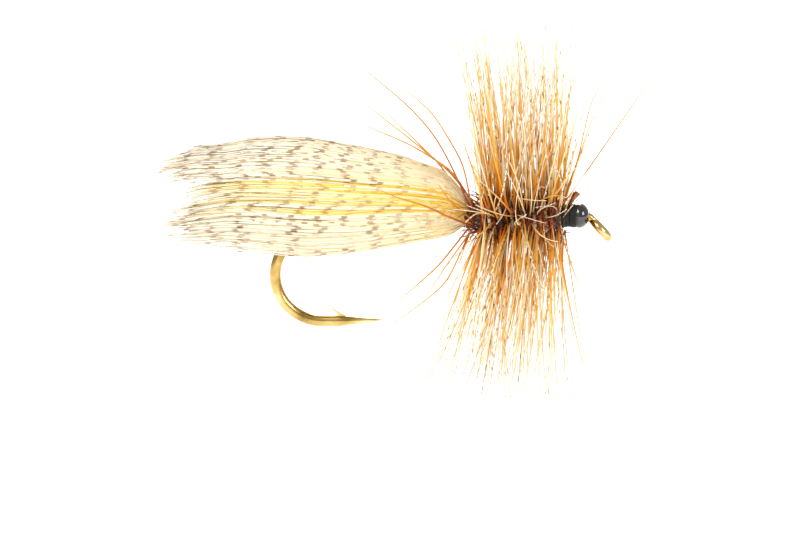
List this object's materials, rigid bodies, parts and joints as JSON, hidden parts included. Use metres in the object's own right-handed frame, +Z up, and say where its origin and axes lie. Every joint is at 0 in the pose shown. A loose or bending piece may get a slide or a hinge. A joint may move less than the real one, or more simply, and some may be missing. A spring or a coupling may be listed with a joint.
{
  "type": "dry fly",
  "caption": "Dry fly with a barred cream and yellow wing over the body, a wound ginger and grizzly hackle and a turned-down eye.",
  "frame": {"origin": "centre of the hook's eye", "axes": "+X forward along the shank, towards the eye; +Z up, away from the hook's point"},
  "size_m": [0.0247, 0.0191, 0.0189],
  "materials": {
    "hook_wire": "bronzed wire",
    "thread": "black waxed thread",
    "yellow_dubbing": "fuzzy",
    "yellow_fibre": "mottled fibre",
    "cream_fibre": "barred fibre",
    "dark_dubbing": "fuzzy",
    "quill": "satin horn",
    "ginger_hackle": "glossy fibre",
    "grizzly_hackle": "barred fibre",
    "cement": "clear gloss"
  },
  "bodies": {
    "root": {"hook": "hook_wire", "thread_base": "thread", "abdomen": "yellow_dubbing", "underwing": "yellow_fibre", "roof_overwing": "cream_fibre", "left_overwing": "cream_fibre", "right_overwing": "cream_fibre", "wing_binding": "thread", "wing_butts": "cream_fibre", "thorax_dubbing": "dark_dubbing", "ginger_hackle_quill": "quill", "ginger_hackle_barbs": "ginger_hackle", "grizzly_hackle_quill": "quill", "grizzly_hackle_barbs": "grizzly_hackle", "trailing_barbs": "ginger_hackle", "front_stray_barbs": "grizzly_hackle", "hackle_tie_down": "thread", "quill_stubs": "quill", "thread_head": "thread", "whip_finish": "thread", "head_cement": "cement"}
  },
  "joints": []
}
